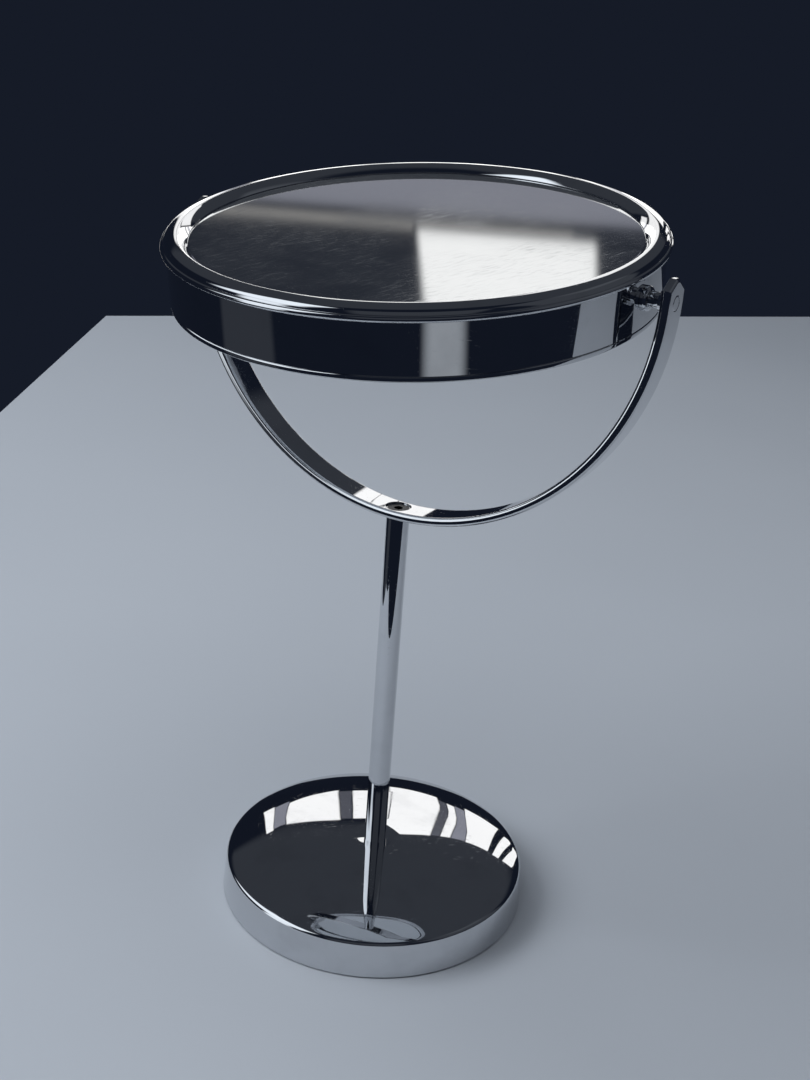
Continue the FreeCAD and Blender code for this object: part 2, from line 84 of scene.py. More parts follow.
class Finish:
    """A surface finish, written as expressions on the readings of its nodes."""

    def __init__(self, name):
        self.material = bpy.data.materials.new(name)
        self.material.use_nodes = True
        self.tree = self.material.node_tree
        self.tree.nodes.clear()
        self.place = self.node("ShaderNodeTexCoord", {}, {}, "Object")

    def node(self, kind, settings, values, output=0):
        made = self.tree.nodes.new(kind)
        for name, value in settings.items():
            setattr(made, name, value)
        for name, value in values.items():
            if isinstance(value, Reading):
                self.tree.links.new(value.socket, made.inputs[name])
            else:
                made.inputs[name].default_value = value
        return Reading(self, made.outputs[output])

    def stretched(self, scale, turn=(0, 0, 0)):
        """The place on the piece, turned and then stretched, for grain that runs one way."""
        turned = self.node("ShaderNodeMapping", {}, {"Vector": self.place, "Rotation": turn})
        return self.node("ShaderNodeVectorMath", {"operation": "MULTIPLY"}, {0: turned, 1: scale})

    def noise(self, scale, detail=2, roughness=0.5, place=None):
        """Soft random patches; the scale is how many there are to a metre."""
        values = {"Vector": place or self.place, "Scale": scale, "Detail": detail, "Roughness": roughness}
        return self.node("ShaderNodeTexNoise", {}, values, "Fac")

    def grain(self, scale, turn=(0, 0, 0), detail=2, roughness=0.5):
        """Noise drawn out one way, as rolling, polishing and wiping leave it."""
        return self.noise(1, detail, roughness, self.stretched(scale, turn))

    def specks(self, scale):
        """Distance from the nearest of many scattered points."""
        return self.node("ShaderNodeTexVoronoi", {}, {"Vector": self.place, "Scale": scale}, "Distance")

    def mixed(self, share, first, second):
        """A colour between two colours."""
        made = self.tree.nodes.new("ShaderNodeMix")
        made.data_type = "RGBA"
        for name, value in (("Factor_Float", share), ("A_Color", first), ("B_Color", second)):
            socket = next(s for s in made.inputs if s.identifier == name)
            if isinstance(value, Reading):
                self.tree.links.new(value.socket, socket)
            else:
                socket.default_value = value
        return Reading(self, next(s for s in made.outputs if s.identifier == "Result_Color"))

    def raised(self, height, distance=1.0):
        """The surface's direction once a height is laid on it, as a share of a distance in metres."""
        return self.node("ShaderNodeBump", {}, {"Height": height, "Distance": distance})

    def surface(self, **values):
        """The finish's shader, from values named as its sockets with _ for a space."""
        named = {name.replace("_", " "): value for name, value in values.items()}
        shader = self.node("ShaderNodeBsdfPrincipled", {}, named)
        output = self.tree.nodes.new("ShaderNodeOutputMaterial")
        self.tree.links.new(shader.socket, output.inputs["Surface"])
        return self.material


def polished_chrome(name, waviness=0.0, bloom=0.035, wear=0.5):
    """Mirror-bright chrome plate with hairline scratches, a faint bloom from hands and a little dust.

    Waviness is the height of the plate's long waves in metres. Wear goes from 0, as new, to 1.
    """
    clean = (0.67, 0.68, 0.70, 1)
    handled = (0.62, 0.63, 0.65, 1)
    dusty = (0.42, 0.42, 0.43, 1)
    polish = 0.018
    scratch_haze = 0.07 * wear
    scratch_depth = 0.000002
    dust_haze = 0.3 * wear
    dust_cover = 0.5 * wear
    chrome = Finish(name)
    hand_marks = chrome.noise(55, detail=3, roughness=0.6).between(0.48, 0.72)
    fine_bloom = chrome.noise(900).between(0.35, 0.75)
    grain_one = chrome.grain((2600, 90, 2600), turn=(0.4, 0.3, 0.9), roughness=0.6)
    grain_two = chrome.grain((110, 2800, 2800), turn=(0.2, 1.1, 0.5), roughness=0.6)
    hairlines = grain_one.between(0.69, 0.73) + grain_two.between(0.70, 0.74)
    dust = 1 - chrome.specks(650).between(0.035, 0.075)
    dust = dust * chrome.noise(140).between(0.45, 0.7)
    tint = chrome.mixed(hand_marks, clean, handled)
    tint = chrome.mixed(dust * wear, tint, dusty)
    smears = bloom * hand_marks * (0.5 + fine_bloom)
    roughness = polish + smears + scratch_haze * hairlines + dust_haze * dust
    normal = chrome.raised(hairlines * -scratch_depth + chrome.noise(28, detail=1) * waviness)
    return chrome.surface(Base_Color=tint, Metallic=1 - dust_cover * dust, Roughness=roughness, Normal=normal)


arc_step_degrees = 6
arc_step_length = 3.0
corner_turn = math.radians(10)
corner_shares = (0, 0.25, 0.5, 0.75, 1)
widest_corner = 0.4
long_run = 4


class Section:
    """The closed outline of a turned piece, as radius and height in millimetres."""

    def __init__(self, radius, height, ease):
        self.points = [Vector((radius, height))]
        self.rounds = [ease]
        self.ease = ease

    def line(self, radius, height, rounding=None):
        """A straight run to a corner, which gets the outline's ease or a rounding of its own."""
        self.points.append(Vector((radius, height)))
        self.rounds.append(rounding or self.ease)
        return self

    def arc(self, through, end, rounding=None):
        """An arc through one point to another, in short steps."""
        start, middle, finish = self.points[-1], Vector(through), Vector(end)
        near, far = middle - start, finish - start
        offset = Vector(
            (
                far.y * near.length_squared - near.y * far.length_squared,
                near.x * far.length_squared - far.x * near.length_squared,
            )
        )
        centre = start + offset / (2 * near.cross(far))
        spokes = [point - centre for point in (start, middle, finish)]
        swept = sum(math.atan2(a.cross(b), a.dot(b)) for a, b in zip(spokes, spokes[1:]))
        length = abs(swept) * spokes[0].length
        steps = math.ceil(max(abs(math.degrees(swept)) / arc_step_degrees, length / arc_step_length))
        for step in range(1, steps + 1):
            self.line(*(centre + Matrix.Rotation(swept * step / steps, 2) @ spokes[0]))
        self.rounds[-1] = rounding or self.ease
        return self

    def eased(self):
        """The outline's points, with its sharp corners rounded and its straight runs held straight."""
        out = []
        for i, here in enumerate(self.points):
            before, after = here - self.points[i - 1], self.points[(i + 1) % len(self.points)] - here
            turn = before.angle(after)
            if turn < corner_turn:
                out.append(here)
                continue
            widest = widest_corner * min(before.length, after.length)
            cut = min(self.rounds[i] * math.tan(turn / 2), widest)
            entry, leave = here - cut * before.normalized(), here + cut * after.normalized()
            if before.length > long_run * cut:
                out.append(entry - min(self.ease, before.length / long_run) * before.normalized())
            for share in corner_shares:
                out.append(entry.lerp(here, share).lerp(here.lerp(leave, share), share))
            if after.length > long_run * cut:
                out.append(leave + min(self.ease, after.length / long_run) * after.normalized())
        return out


def make_lathe():
    """A tree that carries an outline round the Z axis, and plates the ring that it leaves."""
    tree = bpy.data.node_groups.new("lathe", "GeometryNodeTree")
    for name, kind in (("Outline", "Geometry"), ("Swing", "Float"), ("Sides", "Int"), ("Plate", "Material")):
        tree.interface.new_socket(name, in_out="INPUT", socket_type="NodeSocket" + kind)
    tree.interface.new_socket("Ring", in_out="OUTPUT", socket_type="NodeSocketGeometry")
    given = tree.nodes.new("NodeGroupInput").outputs

    def step(kind, **links):
        made = tree.nodes.new(kind)
        for name, source in links.items():
            tree.links.new(source, made.inputs[name])
        return made

    swing = step("GeometryNodeCurvePrimitiveCircle", Resolution=given["Sides"], Radius=given["Swing"])
    path = step("GeometryNodeSetCurveNormal", Curve=swing.outputs["Curve"])
    path.mode = "Z_UP"
    outline = step("GeometryNodeMeshToCurve", Mesh=given["Outline"])
    ring = step("GeometryNodeCurveToMesh", Curve=path.outputs["Curve"])
    tree.links.new(outline.outputs["Curve"], ring.inputs["Profile Curve"])
    whole = step("GeometryNodeRealizeInstances", Geometry=ring.outputs["Mesh"])
    plated = step("GeometryNodeSetMaterial", Geometry=whole.outputs["Geometry"], Material=given["Plate"])
    step("NodeGroupOutput", Ring=plated.outputs["Geometry"])
    return tree


lathe = make_lathe()
lathe_sides = 288
millimetre = 0.001
weld_distance = 0.000001
head_tilt = frame["joints"][0]
head_rest_tilt = math.radians(8.5)


def placing(body):
    """Where a piece that is made about the origin goes: as it is, or on the head as it rests."""
    if body == "stand":
        return Matrix.Identity(4)
    return Matrix.Translation(head_tilt["pos_m"]) @ Matrix.Rotation(head_rest_tilt, 4, head_tilt["axis"])


def spun(name, section, material, body, node):
    """A turned ring as one smooth mesh on the model's Z axis, in place of a CAD node."""
    outline = section.eased()
    swing = max(point.x for point in outline)
    count = len(outline)
    mesh = bpy.data.meshes.new(name)
    corners = [((point.x - swing) * millimetre, -point.y * millimetre, 0) for point in outline]
    mesh.from_pydata(corners, [(i, (i + 1) % count) for i in range(count)], [])
    piece = bpy.data.objects.new(name, mesh)
    bpy.context.scene.collection.objects.link(piece)
    turning = piece.modifiers.new("lathe", "NODES")
    turning.node_group = lathe
    for given, value in (("Swing", swing * millimetre), ("Sides", lathe_sides), ("Plate", material)):
        turning[lathe.interface.items_tree[given].identifier] = value
    made = bpy.data.meshes.new_from_object(piece.evaluated_get(bpy.context.evaluated_depsgraph_get()))
    piece.modifiers.remove(turning)
    piece.data = made
    bpy.data.meshes.remove(mesh)
    made.name = name
    made.transform(placing(body))
    shape = bmesh.new()
    shape.from_mesh(made)
    bmesh.ops.remove_doubles(shape, verts=shape.verts, dist=weld_distance)
    bmesh.ops.recalc_face_normals(shape, faces=shape.faces)
    shape.to_mesh(made)
    shape.free()
    made.shade_smooth()
    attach(piece, body)
    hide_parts(node)
    return piece


shell_radius = 58.0
shell_rim_height = 14.2
shell_rim_round = 1.8
shell_top = 21.0
shell_flare = 1.2
shell_lift = 0.5
shell_sheet = 1.2
shell_hole_radius = 2.75
shell_ease = 0.2
foot_seat_radius = 7.2
foot_seat_depth = 0.35
foot_seat_slope = 2.6
shell_rise = shell_top - shell_rim_height
plain_cap_radius = (shell_radius**2 + shell_rise**2) / (2 * shell_rise)
crown_flatness = 1.475
edge_tightness = 0.3
crown_radius = crown_flatness * plain_cap_radius
edge_arc_radius = edge_tightness * plain_cap_radius


def shell_section():
    """The pressing: from the screw's hole over the dome and the rim to the skirt's foot, and back inside."""
    crown_centre = shell_top - crown_radius
    reach = math.hypot(shell_radius, shell_rim_height - crown_centre)
    between = crown_radius - edge_arc_radius
    squares = reach**2 + between**2 - edge_arc_radius**2
    crown_angle = math.asin(shell_radius / reach) - math.acos(squares / (2 * reach * between))
    edge_centre_radius = between * math.sin(crown_angle)
    edge_centre = crown_centre + between * math.cos(crown_angle)

    def crown(angle, depth):
        radius = crown_radius - depth
        return radius * math.sin(angle), crown_centre + radius * math.cos(angle)

    def edge(radius, depth):
        arc = edge_arc_radius - depth
        return radius, edge_centre + math.sqrt(arc**2 - (radius - edge_centre_radius) ** 2)

    seat_angle = math.asin(foot_seat_radius / crown_radius)
    middle_angle = (seat_angle + crown_angle) / 2
    seat_floor = foot_seat_radius - foot_seat_slope
    seat_level = shell_top - foot_seat_depth
    half_way = (crown(crown_angle, 0)[0] + shell_radius) / 2
    skirt_foot = shell_radius + shell_flare
    inner_rim = shell_radius - shell_sheet
    return (
        Section(shell_hole_radius, seat_level, shell_ease)
        .line(seat_floor, seat_level)
        .line(*crown(seat_angle, 0))
        .arc(crown(middle_angle, 0), crown(crown_angle, 0))
        .arc(edge(half_way, 0), (shell_radius, shell_rim_height), shell_rim_round)
        .line(skirt_foot, shell_lift)
        .line(skirt_foot - shell_sheet, shell_lift)
        .line(*edge(inner_rim, shell_sheet))
        .arc(edge(half_way, shell_sheet), crown(crown_angle, shell_sheet))
        .arc(crown(middle_angle, shell_sheet), crown(seat_angle, shell_sheet))
        .line(seat_floor, seat_level - shell_sheet)
        .line(shell_hole_radius, seat_level - shell_sheet)
    )


spun("shell_plated", shell_section(), polished_chrome("base_chrome", waviness=0.00012), "stand", "base_shell")

# ---------------------------------------------------------------------------------------------------------
# Ballast, closing plate and pad: a cast iron disc, a zinc-plated pressed plate that closes the shell below,
# and a soft non-slip pad glued to the plate. Only the pad's edge shows, in the shadow under the skirt.
# A screw with a lock washer draws the plate, the ballast and the shell up against the stem.
# ---------------------------------------------------------------------------------------------------------


def cast_iron(name):
    """Dark painted casting with a coarse sand skin."""
    paint = (0.035, 0.036, 0.04, 1)
    worn_paint = (0.07, 0.07, 0.075, 1)
    sand_depth = 0.0006
    iron = Finish(name)
    sand = iron.noise(600, detail=4, roughness=0.65)
    colour = iron.mixed(sand, paint, worn_paint)
    return iron.surface(Base_Color=colour, Roughness=0.6 + 0.3 * sand, Normal=iron.raised(sand, sand_depth))


def zinc_plate(name):
    """Satin zinc with a spangle and the fine lines of the rolled sheet."""
    dull = (0.44, 0.45, 0.47, 1)
    bright = (0.58, 0.59, 0.60, 1)
    rolling_depth = 0.00002
    zinc = Finish(name)
    spangle = zinc.noise(220)
    rolled = zinc.grain((4000, 120, 4000))
    colour = zinc.mixed(spangle, dull, bright)
    roughness = 0.28 + 0.14 * spangle + 0.08 * rolled
    normal = zinc.raised(rolled, rolling_depth)
    return zinc.surface(Base_Color=colour, Metallic=1.0, Roughness=roughness, Normal=normal)


def foam_pad(name):
    """Dark closed-cell foam rubber with small open pores."""
    black = (0.022, 0.022, 0.024, 1)
    dusty_black = (0.05, 0.05, 0.052, 1)
    pore_depth = 0.0001
    foam = Finish(name)
    pores = 1 - foam.specks(1400).between(0.1, 0.42)
    patches = foam.noise(180, detail=3)
    colour = foam.mixed(patches, black, dusty_black)
    return foam.surface(Base_Color=colour, Roughness=0.85, Normal=foam.raised(pores * -pore_depth))


def dress(material, *names):
    """Gives CAD pieces a finish."""
    for name in names:
        for holder in nodes[name].material_slots:
            holder.material = material


zinc = zinc_plate("zinc_plate")
dress(cast_iron("ballast_iron"), "base_weight")
dress(zinc, "base_plate", "base_screw", "base_lock_washer")
dress(foam_pad("non_slip_pad"), "base_pad")

# ---------------------------------------------------------------------------------------------------------
# Stem: a straight drawn steel rod, chrome plated and polished, tapped at both ends. It stands in the shell's
# pressed seat, and its top is cut to the curve of the yoke.
# ---------------------------------------------------------------------------------------------------------

dress(polished_chrome("rod_chrome", waviness=0.00001), "stem")

# ---------------------------------------------------------------------------------------------------------
# Yoke: a flat steel strap bent to a U, its edges eased and its ends' corners cut, chrome plated and polished.
# A countersunk socket screw of blackened steel holds it to the stem.
# ---------------------------------------------------------------------------------------------------------

screw_rim_radius = 0.0041
screw_rim_width = 0.0003


def blackened_steel(name):
    """Oiled black oxide on steel, rubbed bright in places and round the rim of the screw's head."""
    oxide = (0.035, 0.037, 0.042, 1)
    rubbed_oxide = (0.11, 0.11, 0.12, 1)
    bare_steel = (0.56, 0.57, 0.58, 1)
    oxide_depth = 0.00001
    steel = Finish(name)
    patches = steel.noise(700, detail=3)
    flat_place = steel.stretched((1, 1, 0))
    from_axis = steel.node("ShaderNodeVectorMath", {"operation": "LENGTH"}, {0: flat_place}, "Value")
    rim = from_axis.between(screw_rim_radius - screw_rim_width, screw_rim_radius)
    rubbed = steel.noise(2400).between(0.58, 0.72)
    colour = steel.mixed(rim, steel.mixed(rubbed, oxide, rubbed_oxide), bare_steel)
    roughness = (0.24 + 0.16 * patches) * (1 - 0.7 * rim)
    normal = steel.raised(patches, oxide_depth)
    return steel.surface(Base_Color=colour, Metallic=1.0, Roughness=roughness, Normal=normal)


dress(polished_chrome("strap_chrome", waviness=0.00003, wear=0.3), "yoke_strap")
dress(blackened_steel("blackened_steel"), "yoke_screw")

# ---------------------------------------------------------------------------------------------------------
# Pivots: stepped pins riveted flush in the arms, and bushes through the band that turn on them. Washers and
# nuts of plain zinc-plated steel and nylon hold them inside the head.
# ---------------------------------------------------------------------------------------------------------


def natural_nylon(name):
    """Translucent off-white nylon, faintly clouded."""
    ivory = (0.72, 0.70, 0.64, 1)
    milky = (0.80, 0.79, 0.74, 1)
    cloud_depth = 0.00002
    nylon = Finish(name)
    cloud = nylon.noise(400)
    colour = nylon.mixed(cloud, ivory, milky)
    normal = nylon.raised(cloud, cloud_depth)
    return nylon.surface(Base_Color=colour, Roughness=0.4 + 0.1 * cloud, Normal=normal)


pivots = ("pivot_pin_left", "pivot_pin_right", "pivot_bush_left", "pivot_bush_right")
dress(polished_chrome("pivot_chrome", wear=0.1), *pivots)
dress(zinc, "spring_washers", "pivot_nuts")
dress(natural_nylon("natural_nylon"), "friction_washers")

# ---------------------------------------------------------------------------------------------------------
# Head band and bezels: a rolled band, a stepped ring that caps it on the plain side, and a ring flush with it
# on the magnifying side. All are chrome plated and polished.
# ---------------------------------------------------------------------------------------------------------

dress(polished_chrome("band_chrome", waviness=0.00004), "head_band")

lip_radius = 84.0
lip_thickness = 2.0
crest_outer_radius = 83.0
crest_round_width = 4.8
crest_round_fall = 2.5
crest_top_round = 8.0
crest_top_width = 3.4
crest_radius = crest_outer_radius - crest_round_width
crest_ease = 1.2
band_radius = 82.3
band_lap = 1.3
rear_rim_height = 1.8
rear_rim_round = 1.5
seam_ease = 0.25
skirt_radius = 81.2
skirt_inner_radius = 79.9
skirt_end = 4.1
pocket_radius = 77.6
aperture_radius = 75.0
bezel_tip_height = 0.4
bezel_ease = 0.15
slope_bulge = 0.2
crest_level = 11.49
glass_level = 8.39
glass_seat = 6.39
fit = 0.1


def slope_middle(tip_level):
    """The middle of the slightly rounded slope from the crest to the tip."""
    run, fall = crest_radius - aperture_radius, crest_level - tip_level
    share = slope_bulge / math.hypot(run, fall)
    return aperture_radius + run / 2 - share * fall, crest_level - fall / 2 + share * run


def front_bezel_section():
    """The ring on the plain side: lip, rounded crest, slope down to the glass, and skirt inside the band."""
    lip_top = crest_level - crest_round_fall
    lip_bottom = lip_top - lip_thickness
    turn = math.asin(crest_top_width / crest_top_round)
    brow_radius = crest_radius + crest_top_width
    brow_level = crest_level - crest_top_round * (1 - math.cos(turn))
    top_middle = (
        crest_radius + crest_top_round * math.sin(turn / 2),
        crest_level - crest_top_round * (1 - math.cos(turn / 2)),
    )
    across = crest_outer_radius - brow_radius
    down = brow_level - lip_top
    bulge = math.tan((math.atan2(down, across) - turn) / 2) / 2
    brow_middle = brow_radius + across / 2 + bulge * down, brow_level - down / 2 + bulge * across
    return (
        Section(band_radius + fit, lip_bottom, bezel_ease)
        .line(crest_outer_radius, lip_bottom)
        .arc((lip_radius, lip_bottom + lip_thickness / 2), (crest_outer_radius, lip_top))
        .arc(brow_middle, (brow_radius, brow_level))
        .arc(top_middle, (crest_radius, crest_level), crest_ease)
        .arc(slope_middle(glass_level + bezel_tip_height), (aperture_radius, glass_level + bezel_tip_height))
        .line(aperture_radius, glass_level)
        .line(pocket_radius, glass_level)
        .line(pocket_radius, glass_seat + fit)
        .line(skirt_inner_radius, glass_seat + fit)
        .line(skirt_inner_radius, skirt_end)
        .line(skirt_radius, skirt_end)
        .line(skirt_radius, lip_bottom + band_lap + fit)
        .line(band_radius + fit, lip_bottom + band_lap + fit)
    )


def rear_bezel_section():
    """The ring on the magnifying side, flush with the band."""
    band_rear = rear_rim_height - crest_level
    rear_pocket = -glass_level - fit
    slope_radius, slope_level = slope_middle(bezel_tip_height - rear_pocket)
    return (
        Section(band_radius - seam_ease, band_rear, bezel_ease)
        .line(band_radius, band_rear - seam_ease)
        .line(band_radius, -crest_level, rear_rim_round)
        .line(crest_radius, -crest_level, crest_ease)
        .arc((slope_radius, -slope_level), (aperture_radius, rear_pocket - bezel_tip_height))
        .line(aperture_radius, rear_pocket)
        .line(pocket_radius, rear_pocket)
        .line(pocket_radius, -glass_seat - fit)
        .line(skirt_inner_radius, -glass_seat - fit)
        .line(skirt_inner_radius, -skirt_end)
        .line(skirt_radius, -skirt_end)
        .line(skirt_radius, band_rear)
    )


bezel_chrome = polished_chrome("bezel_chrome", waviness=0.00001)
front_bezel = spun("front_bezel_plated", front_bezel_section(), bezel_chrome, "head", "front_bezel")
spun("rear_bezel_plated", rear_bezel_section(), bezel_chrome, "head", "rear_bezel")

# ---------------------------------------------------------------------------------------------------------
# Core: a moulded ring between the glasses with a block for each pivot. It is closed in by the glasses, as are
# the foam discs behind them.
# ---------------------------------------------------------------------------------------------------------


def moulded_plastic(name):
    """Pale satin plastic with the mould's fine spark texture."""
    pale_grey = (0.52, 0.52, 0.51, 1)
    off_white = (0.60, 0.60, 0.59, 1)
    spark_depth = 0.00003
    plastic = Finish(name)
    spark = plastic.noise(2600)
    flow = plastic.noise(60)
    colour = plastic.mixed(flow, pale_grey, off_white)
    return plastic.surface(Base_Color=colour, Roughness=0.5, Normal=plastic.raised(spark, spark_depth))


def foam_sheet(name):
    """Soft grey foam sheet with fine cells, their hollows painted darker as shade."""
    shaded_hollow = (0.28, 0.28, 0.29, 1)
    wall = (0.42, 0.42, 0.43, 1)
    cell_depth = 0.0001
    foam = Finish(name)
    cells = foam.specks(1800).between(0.05, 0.5)
    # Painted shade: the hollows of the cells are coloured darker than their walls.
    colour = foam.mixed(cells, shaded_hollow, wall)
    return foam.surface(Base_Color=colour, Roughness=0.95, Normal=foam.raised(cells, cell_depth))


dress(moulded_plastic("core_plastic"), "core_ring")
dress(foam_sheet("backing_foam"), "backing_plain", "backing_magnifying")

# ---------------------------------------------------------------------------------------------------------
# Glasses: a flat one that faces up and a slumped, concave one below, both silvered. Dust lies on the upper
# glass, and wiping has left faint streaks.
# ---------------------------------------------------------------------------------------------------------


def silvered_glass(name, dustiness):
    """Silvered float glass under a thin layer of dust, with lint on it and fine wiped streaks."""
    silver = (0.86, 0.88, 0.89, 1)
    dust_grey = (0.55, 0.56, 0.58, 1)
    glass = Finish(name)
    grains = 1 - glass.specks(2300).between(0.06, 0.2)
    scattered = grains * glass.noise(1500, detail=1).between(0.42, 0.62)
    flecks = (1 - glass.specks(420).between(0.03, 0.07)) * glass.noise(60).between(0.45, 0.6)
    lint = glass.grain((3200, 260, 3200), turn=(0, 0, 0.7), detail=3, roughness=0.6).between(0.70, 0.78)
    wiped = glass.grain((1400, 40, 1400), turn=(0, 0, 0.35), detail=3, roughness=0.6).between(0.5, 0.75)
    cloud = glass.noise(22, detail=3, roughness=0.6).between(0.4, 0.7)
    streaks = 0.2 * wiped * cloud
    film = dustiness * (0.05 + 0.5 * scattered + 0.8 * flecks + 0.6 * lint + streaks + 0.04 * cloud)
    colour = glass.mixed(film, silver, dust_grey)
    return glass.surface(Base_Color=colour, Metallic=1 - 0.5 * film, Roughness=0.03 + 0.35 * film)


dress(silvered_glass("plain_silvering", 0.85), "mirror_plain")
dress(silvered_glass("magnifying_silvering", 0.15), "mirror_magnifying")

# ---------------------------------------------------------------------------------------------------------
# The stage: a plain pale table top in a dark room, large soft boxes that light it from above and from the
# left, rows of soft boxes beyond it and dim ones about it for the shine of the chrome, and the camera.
# ---------------------------------------------------------------------------------------------------------

table_corners = (
    (-0.568, 0.327),
    (-0.74, 0.626),
    (0.25, 1.75),
    (1.25, 0.54),
    (-0.04, -0.30),
    (-0.19, -0.235),
    (-0.285, -0.02),
)
table_thickness = 0.03


def make_table():
    """A plain slab with its top where the mirror stands."""
    shaded_grey = (0.50, 0.54, 0.60, 1)
    pale_grey = (0.56, 0.60, 0.66, 1)
    count = len(table_corners)
    top = [(x, y, 0.0) for x, y in table_corners]
    under = [(x, y, -table_thickness) for x, y in table_corners]
    sides = [(i, i + count, (i + 1) % count + count, (i + 1) % count) for i in range(count)]
    mesh = bpy.data.meshes.new("table")
    mesh.from_pydata(top + under, [], [tuple(range(count))[::-1], tuple(range(count, 2 * count)), *sides])
    mesh.update()
    table = bpy.data.objects.new("table", mesh)
    bpy.context.scene.collection.objects.link(table)
    matt = Finish("table_top")
    colour = matt.mixed(matt.noise(3), shaded_grey, pale_grey)
    mesh.materials.append(matt.surface(Base_Color=colour, Roughness=0.9))


def lit_group(name, state, *pieces):
    """A group that keeps a light on some pieces alone, or off them."""
    group = bpy.data.collections.new(name)
    for piece in pieces:
        group.objects.link(piece)
    for member in group.collection_objects:
        member.light_linking.link_state = state
    return group


class Front(Finish):
    """The cloth front of a soft box, which dims towards its edges."""

    def __init__(self, light, soft_across, soft_up):
        light.use_nodes = True
        self.tree = light.node_tree
        across_up = self.node("ShaderNodeNewGeometry", {}, {}, "Parametric")
        glow = 1.0
        for axis, soft in (("X", soft_across), ("Y", soft_up)):
            share = self.node("ShaderNodeSeparateXYZ", {}, {"Vector": across_up}, axis)
            glow = glow * (share * (1 - share)).between(0, soft)
        self.tree.links.new(glow.socket, self.tree.nodes["Emission"].inputs["Strength"])


def soft_box(name, place, target, width, height, radiance, colour, blur=0.0):
    """A rectangular soft box at a place, facing a target, with a blurred border of a width in metres."""
    light = bpy.data.lights.new(name, "AREA")
    light.shape = "RECTANGLE"
    light.size = width
    light.size_y = height
    light.color = colour
    light.energy = radiance * math.pi * width * height
    if blur:
        across, up = (min(0.5, blur / side) for side in (width, height))
        Front(light, across * (1 - across), up * (1 - up))
    lamp = bpy.data.objects.new(name, light)
    bpy.context.scene.collection.objects.link(lamp)
    lamp.location = place
    lamp.rotation_mode = "QUATERNION"
    lamp.rotation_quaternion = (target - place).to_track_quat("-Z", "Y")
    lamp.visible_camera = False
    return lamp


def bearing(azimuth, distance, height):
    """A place in the room: its bearing from +Y towards +X in degrees, and metres for the rest."""
    angle = math.radians(azimuth)
    return Vector((distance * math.sin(angle), distance * math.cos(angle), height))


make_table()

night_blue = (0.008, 0.011, 0.02, 1)
room = bpy.data.worlds.new("room")
room.use_nodes = True
room.node_tree.nodes["Background"].inputs["Color"].default_value = night_blue
room.node_tree.nodes["Background"].inputs["Strength"].default_value = 1.0
bpy.context.scene.world = room

warm = (1.0, 0.99, 0.97)
lilac = (0.86, 0.87, 1.0)
cool = (0.88, 0.94, 1.0)
pale_blue = (0.94, 0.97, 1.0)
sand = (1.0, 0.95, 0.87)
window = 1.35

# Left, right, low and high edge of each soft box on a wall, in metres, its radiance and its colour. A window
# is the brightest of them.
wall_boxes = (
    (-0.145, -0.095, 0.302, 0.543, window, warm),
    (-0.098, -0.040, 0.315, 0.533, 0.35, lilac),
    (-0.043, 0.091, 0.341, 0.537, window, warm),
    (0.088, 0.118, 0.354, 0.529, 0.12, lilac),
    (0.115, 0.201, 0.354, 0.529, window, warm),
    (0.192, 0.316, 0.274, 0.623, window, warm),
    (0.313, 0.340, 0.320, 0.619, 0.12, lilac),
    (0.336, 0.369, 0.320, 0.619, window, warm),
    (0.366, 0.410, 0.303, 0.620, 0.35, lilac),
    (0.406, 0.573, 0.258, 0.624, window, warm),
    (0.618, 0.688, 0.305, 0.635, window, warm),
    (0.726, 0.842, 0.319, 0.635, window, warm),
)
# The upper glass alone has a quieter view: a bright box over a dim rail and a dim strip.
glass_boxes = (
    (-0.895, -0.505, 1.205, 1.51, 1.0, warm),
    (-1.400, -0.550, 1.190, 1.222, 0.27, sand),
    (-1.450, -0.370, 1.030, 1.185, 0.24, lilac),
)
# The rounded rims see more of the windows, and the strap sees their tops.
rim_boxes = (
    (-0.20, -0.06, -0.15, 0.70, 1.2, warm),
    (-0.04, 0.27, 0.25, 1.00, 1.2, warm),
    (0.26, 0.52, 0.25, 0.69, 0.5, warm),
    (0.26, 0.52, 0.68, 1.15, 1.2, warm),
)
strap_boxes = ((0.10, 0.40, 0.50, 0.72, window, warm),)


def make_wall_boxes(azimuth, distance, boxes, group, blur):
    """Upright soft boxes on a wall beyond the mirror, for the shine of the pieces of a group."""
    middle = bearing(azimuth, distance, 0)
    along = bearing(azimuth + 90, 1, 0)
    for left, right, low, high, radiance, colour in boxes:
        place = middle + along * (left + right) / 2 + Vector((0, 0, (low + high) / 2))
        lamp = soft_box("wall_box", place, place - middle, right - left, high - low, radiance, colour, blur)
        lamp.visible_diffuse = False
        lamp.light_linking.receiver_collection = group


# Chrome and glass show each box as it is, so these groups keep a box to the pieces that it suits.
glass = nodes["mirror_plain"]
stem = nodes["stem"]
pivot_pieces = [nodes[name] for name in pivots]
glass_alone = lit_group("the_glass_alone", "INCLUDE", glass)
strap_alone = lit_group("the_strap_alone", "INCLUDE", nodes["yoke_strap"])
bezel_alone = lit_group("the_front_bezel_alone", "INCLUDE", front_bezel)
band_alone = lit_group("the_band_alone", "INCLUDE", nodes["head_band"])
not_glass = lit_group("all_but_the_glass", "EXCLUDE", glass)
without_bezel = lit_group("all_but_glass_bezel_and_pivots", "EXCLUDE", glass, front_bezel, *pivot_pieces)
without_stem = lit_group("all_but_glass_stem_and_pivots", "EXCLUDE", glass, stem, *pivot_pieces)

far_wall = -42
glass_wall = -10
make_wall_boxes(far_wall, 0.9, wall_boxes, not_glass, 0.006)
make_wall_boxes(far_wall, 0.9, strap_boxes, strap_alone, 0.02)
make_wall_boxes(far_wall, 1.0, rim_boxes, bezel_alone, 0.03)
make_wall_boxes(glass_wall, 2.0, glass_boxes, glass_alone, 0.02)

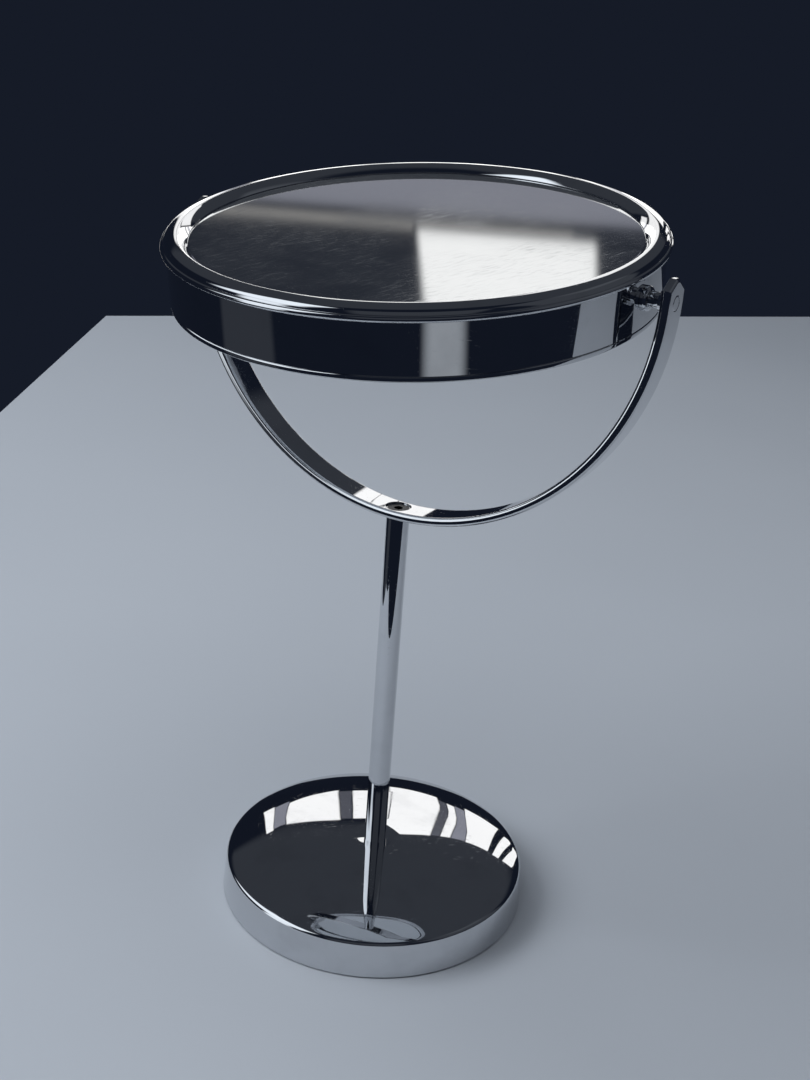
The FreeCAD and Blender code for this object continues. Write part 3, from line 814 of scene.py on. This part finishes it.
# The light that falls on the table: where each box hangs, what it faces, its size and its radiance.
centre = Vector((0, 0, 0.15))
for name, place, target, width, height, radiance in (
    ("fill", bearing(-75, 1.6, 2.5), centre, 1.8, 1.8, 1.3),
    ("over_front", bearing(157, 0.38, 2.0), bearing(157, 0.33, 0), 2.0, 2.0, 1.3),
    ("daylight", bearing(-130, 1.5, 1.3), centre, 1.3, 1.1, 4.6),
):
    lamp = soft_box(name, place, target, width, height, radiance, pale_blue)
    lamp.visible_glossy = False

# The shine alone: the same, with the width of the blurred border and the pieces that show the box.
band_front = Vector((0.05, -0.065, 0.238))
for name, place, target, width, height, radiance, blur, group in (
    ("ceiling", bearing(-34, 0.9, 1.3), bearing(-34, 0.8, 0), 2.8, 2.5, 0.037, 0.3, not_glass),
    ("dim_left", bearing(-129, 1.5, -0.4), centre, 0.9, 0.7, 0.033, 0.1, not_glass),
    ("right_side", bearing(70, 1.6, 1.2), centre, 2.4, 2.2, 0.05, 0.3, not_glass),
    ("behind_camera", bearing(150, 1.8, 1.1), centre, 2.2, 1.8, 0.045, 0.3, not_glass),
    ("left_front", bearing(-126, 1.3, 1.65), bearing(-126, 0.1, 1.65), 2.1, 2.1, 1.35, 0.25, without_bezel),
    ("left_rim", bearing(-137, 1.3, 1.47), bearing(-137, 0.1, 1.47), 1.36, 1.74, 1.35, 0.25, bezel_alone),
    ("left_low", bearing(-145, 1.3, 0.27), bearing(-145, 0.1, 0.27), 0.66, 1.0, 1.3, 0.2, without_stem),
    ("front_low", bearing(134, 0.69, -0.068), band_front, 0.27, 0.3, 0.38, 0.08, band_alone),
):
    lamp = soft_box(name, place, target, width, height, radiance, cool, blur)
    lamp.visible_diffuse = False
    lamp.light_linking.receiver_collection = group

camera_frame_pixels = 1080
camera_focal_pixels = 1383.4
camera_sensor_width = 36.0
camera_place = Vector((0.23970, -0.39706, 0.33431))
camera_azimuth = math.radians(30.725)
camera_elevation = math.radians(21.912)
camera_roll = math.radians(4.194)


def make_camera():
    """A camera on the user's side, right of the mirror and a little above it."""
    back = Vector(
        (
            math.sin(camera_azimuth) * math.cos(camera_elevation),
            -math.cos(camera_azimuth) * math.cos(camera_elevation),
            math.sin(camera_elevation),
        )
    )
    level = Vector((math.cos(camera_azimuth), math.sin(camera_azimuth), 0))
    above = back.cross(level)
    right = level * math.cos(camera_roll) + above * math.sin(camera_roll)
    up = above * math.cos(camera_roll) - level * math.sin(camera_roll)
    data = bpy.data.cameras.new("camera")
    data.sensor_width = camera_sensor_width
    data.lens = camera_focal_pixels / camera_frame_pixels * camera_sensor_width
    data.clip_start = 0.02
    data.clip_end = 20.0
    camera = bpy.data.objects.new("camera", data)
    bpy.context.scene.collection.objects.link(camera)
    camera.matrix_world = Matrix((right, up, back)).transposed().to_4x4()
    camera.location = camera_place
    bpy.context.scene.camera = camera


make_camera()
bpy.context.scene.view_settings.view_transform = "Standard"
